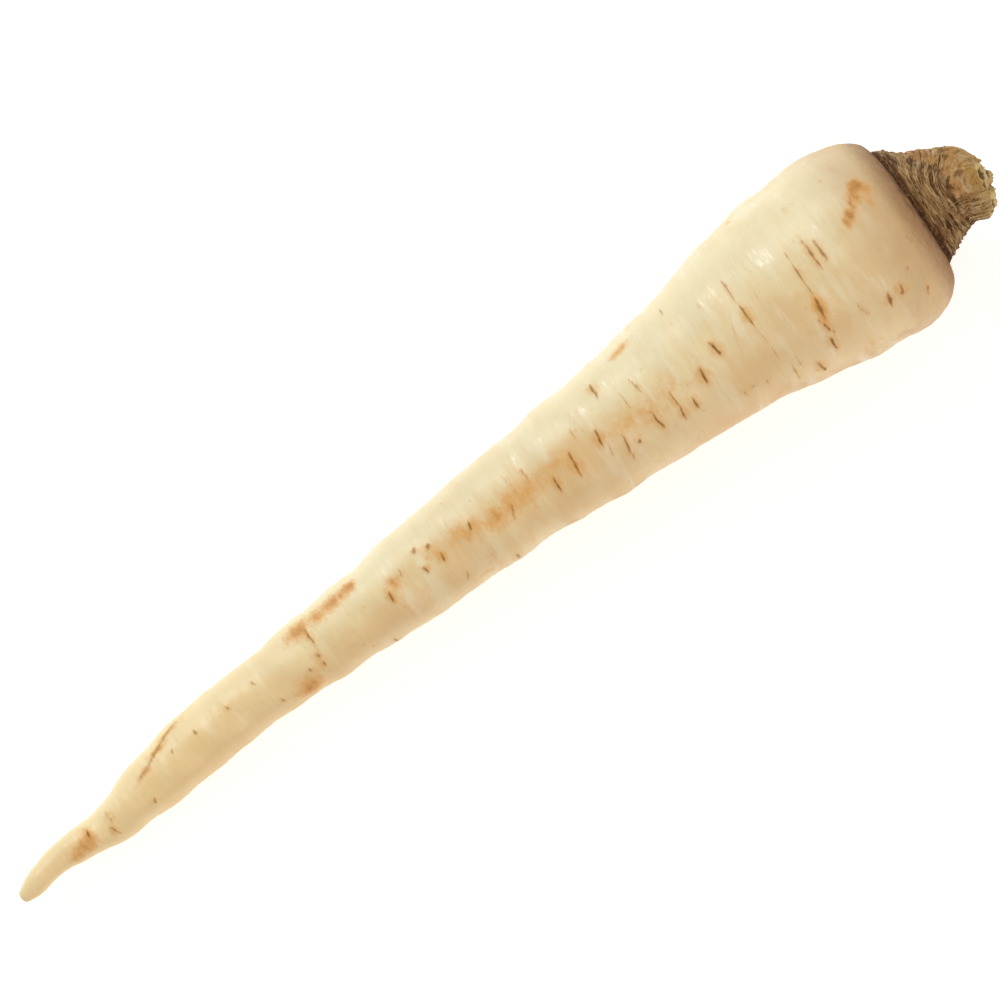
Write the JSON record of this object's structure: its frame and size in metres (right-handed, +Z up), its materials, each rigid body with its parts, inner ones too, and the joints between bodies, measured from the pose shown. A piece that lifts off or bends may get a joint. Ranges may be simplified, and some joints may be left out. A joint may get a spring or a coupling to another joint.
{
  "type": "parsley root",
  "caption": "Long tapering cream-coloured taproot lying on its side, with a broad shoulder, a thin curved tip and a short brown crown of cut leaf stalks.",
  "frame": {"origin": "middle of the root's footprint, on the surface it lies on", "axes": "+X along the root from the tip to the crown, +Y towards the side it bows to, +Z up"},
  "size_m": [0.2284, 0.0396, 0.0375],
  "materials": {
    "root_skin": "smooth waxy cream skin with a soft sheen, short brown transverse scars and orange-brown stains",
    "crown_cork": "dull fibrous brown crown with dry stalk bases, and yellow-green rims where the stalks are cut"
  },
  "bodies": {
    "root": {"parsley_root": "root_skin"}
  },
  "joints": []
}
